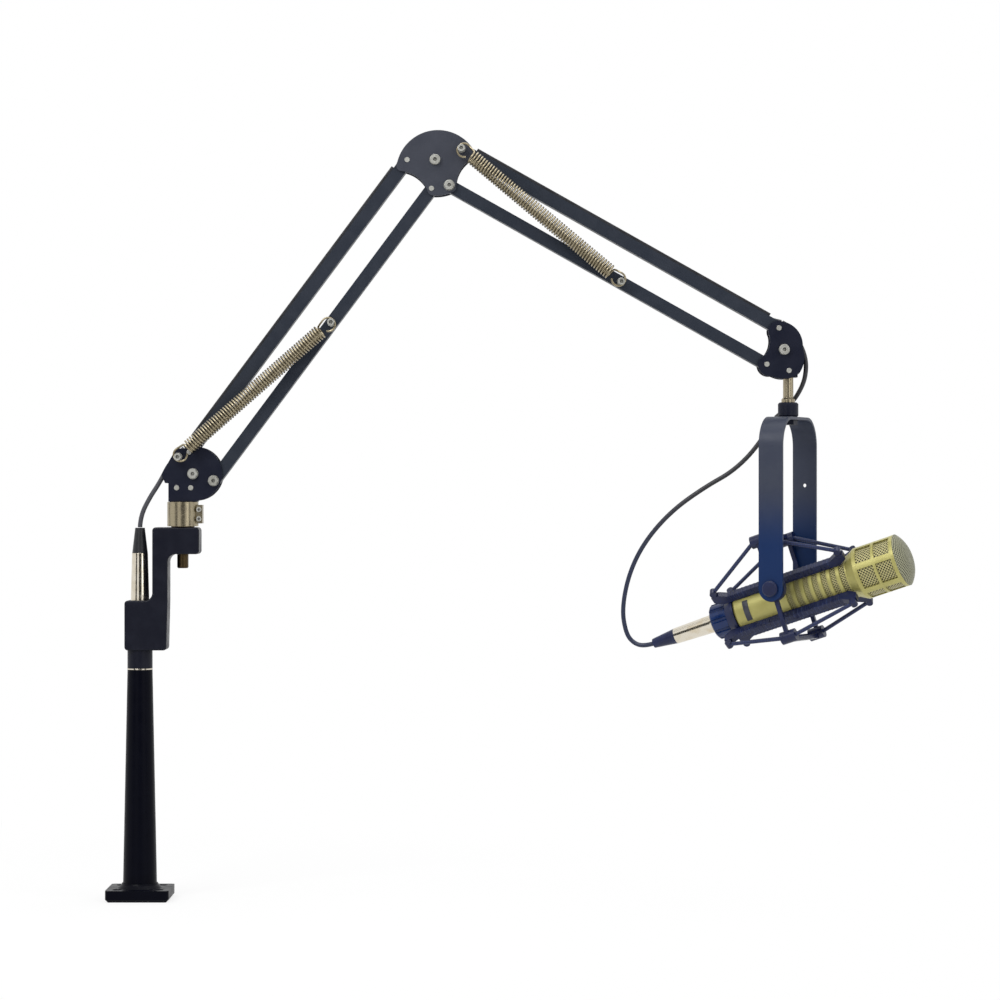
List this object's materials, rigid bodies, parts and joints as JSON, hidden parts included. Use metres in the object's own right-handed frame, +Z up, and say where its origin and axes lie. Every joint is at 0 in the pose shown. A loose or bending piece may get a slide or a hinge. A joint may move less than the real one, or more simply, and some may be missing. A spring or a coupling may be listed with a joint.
{
  "type": "microphone boom arm",
  "caption": "Spring balanced folding boom arm on a desk riser, with cable runs, plug, yoke shock mount and a slotted broadcast microphone.",
  "frame": {"origin": "centre of the base flange's underside, on the desk", "axes": "+Z up the riser column, +X along the arm towards the microphone, +Y away from the viewer of the picture"},
  "size_m": [0.8241, 0.1449, 0.7894],
  "materials": {
    "black_steel": "satin black powder coat",
    "black_riser": "satin black paint",
    "bright_nickel": "bright nickel plate",
    "warm_nickel": "satin nickel plate",
    "zinc": "bright zinc plate",
    "dark_brass": "dull brass",
    "spring_steel": "bright nickel plated wire",
    "black_plastic": "satin moulded nylon",
    "navy_black": "satin moulded nylon",
    "cord_jacket": "matte black jacket",
    "elastic": "woven elastic",
    "khaki_metal": "satin khaki gold lacquer",
    "dark_mesh": "dark wire mesh",
    "grey_foam": "grey mesh and foam"
  },
  "bodies": {
    "riser": {"base_flange": "black_riser", "riser_column": "black_riser", "column_joint_ring": "bright_nickel", "riser_head": "black_riser", "hook_bush": "dark_brass", "riser_socket": "black_plastic", "plug_barrel": "bright_nickel", "plug_boot": "black_plastic", "riser_lead": "cord_jacket"},
    "swivel": {"swivel_pin": "dark_brass", "swivel_collar": "warm_nickel", "collar_clamp_screws": "zinc", "shoulder_front_plate": "black_steel", "shoulder_rear_plate": "black_steel", "swivel_block": "black_steel", "shoulder_main_bolt": "zinc", "shoulder_pivot_pins": "zinc", "shoulder_spring_post": "zinc"},
    "lower_outer": {"lower_outer_bar": "black_steel", "lower_cable_cover": "black_plastic", "lower_cable_run": "cord_jacket"},
    "lower_inner": {"lower_inner_bar": "black_steel", "lower_spring_anchor": "zinc", "lower_spring": "spring_steel"},
    "elbow": {"elbow_front_plate": "black_steel", "elbow_rear_plate": "black_steel", "elbow_main_bolt": "zinc", "elbow_pivot_pins": "zinc", "elbow_spring_post": "zinc", "elbow_cable": "cord_jacket"},
    "upper_outer": {"upper_outer_bar": "black_steel", "upper_cable_cover": "black_plastic", "upper_cable_run": "cord_jacket"},
    "upper_inner": {"upper_inner_bar": "black_steel", "upper_spring_anchor": "zinc", "upper_spring": "spring_steel"},
    "head": {"head_front_plate": "black_steel", "head_rear_plate": "black_steel", "head_main_bolt": "zinc", "head_rivets": "zinc", "stud_block": "black_steel", "head_stud": "warm_nickel", "head_lead": "cord_jacket"},
    "yoke": {"yoke_nut": "black_steel", "yoke_strap": "black_steel", "tilt_bolts": "zinc", "mic_lead": "cord_jacket"},
    "cradle": {"suspension_ring": "navy_black", "cord_cleats": "navy_black", "suspension_cords": "elastic", "cage_frame": "navy_black", "cage_collar": "black_plastic", "mic_body": "khaki_metal", "mic_mesh": "dark_mesh", "mic_head_shell": "khaki_metal", "front_grille": "grey_foam", "mic_capsule": "dark_mesh", "mic_badge": "khaki_metal", "mic_plug_barrel": "bright_nickel", "mic_plug_boot": "black_plastic"}
  },
  "joints": [
    {"name": "arm_swivel", "type": "hinge", "parent": "riser", "child": "swivel", "pos_m": [0.044, 0, 0.38], "axis": [0, 0, 1], "range_deg": [-150, 150], "deforming": ["riser_lead"]},
    {"name": "lower_arm_tilt", "type": "hinge", "parent": "swivel", "child": "lower_outer", "pos_m": [0.0515, 0, 0.4591], "axis": [0, -1, 0], "range_deg": [-23, 36], "deforming": ["lower_cable_run"]},
    {"name": "lower_link", "type": "hinge", "parent": "swivel", "child": "lower_inner", "pos_m": [0.0765, 0, 0.4298], "axis": [0, -1, 0], "range_deg": [-23, 36], "deforming": ["lower_spring"]},
    {"name": "elbow_level", "type": "hinge", "parent": "lower_outer", "child": "elbow", "pos_m": [0.27471, 0, 0.75856], "axis": [0, -1, 0], "range_deg": [-36, 23], "deforming": ["elbow_cable"]},
    {"name": "upper_arm_tilt", "type": "hinge", "parent": "elbow", "child": "upper_outer", "pos_m": [0.33031, 0, 0.76956], "axis": [0, -1, 0], "range_deg": [-25, 64], "deforming": ["upper_cable_run"]},
    {"name": "upper_link", "type": "hinge", "parent": "elbow", "child": "upper_inner", "pos_m": [0.31791, 0, 0.73246], "axis": [0, -1, 0], "range_deg": [-25, 64], "deforming": ["upper_spring"]},
    {"name": "head_level", "type": "hinge", "parent": "upper_outer", "child": "head", "pos_m": [0.65571, 0, 0.58621], "axis": [0, -1, 0], "range_deg": [-64, 25]},
    {"name": "yoke_swivel", "type": "hinge", "parent": "head", "child": "yoke", "pos_m": [0.66601, 0, 0.5], "axis": [0, 0, 1], "range_deg": [-75, 75], "deforming": ["head_lead"]},
    {"name": "mic_tilt", "type": "hinge", "parent": "yoke", "child": "cradle", "pos_m": [0.66601, 0, 0.32016], "axis": [0.3987, 0.9171, 0], "range_deg": [-45, 45], "deforming": ["mic_lead"]}
  ],
  "couplings": [
    {"joint": "lower_link", "follows": "lower_arm_tilt", "ratio": 1},
    {"joint": "elbow_level", "follows": "lower_arm_tilt", "ratio": -1},
    {"joint": "upper_link", "follows": "upper_arm_tilt", "ratio": 1},
    {"joint": "head_level", "follows": "upper_arm_tilt", "ratio": -1}
  ]
}
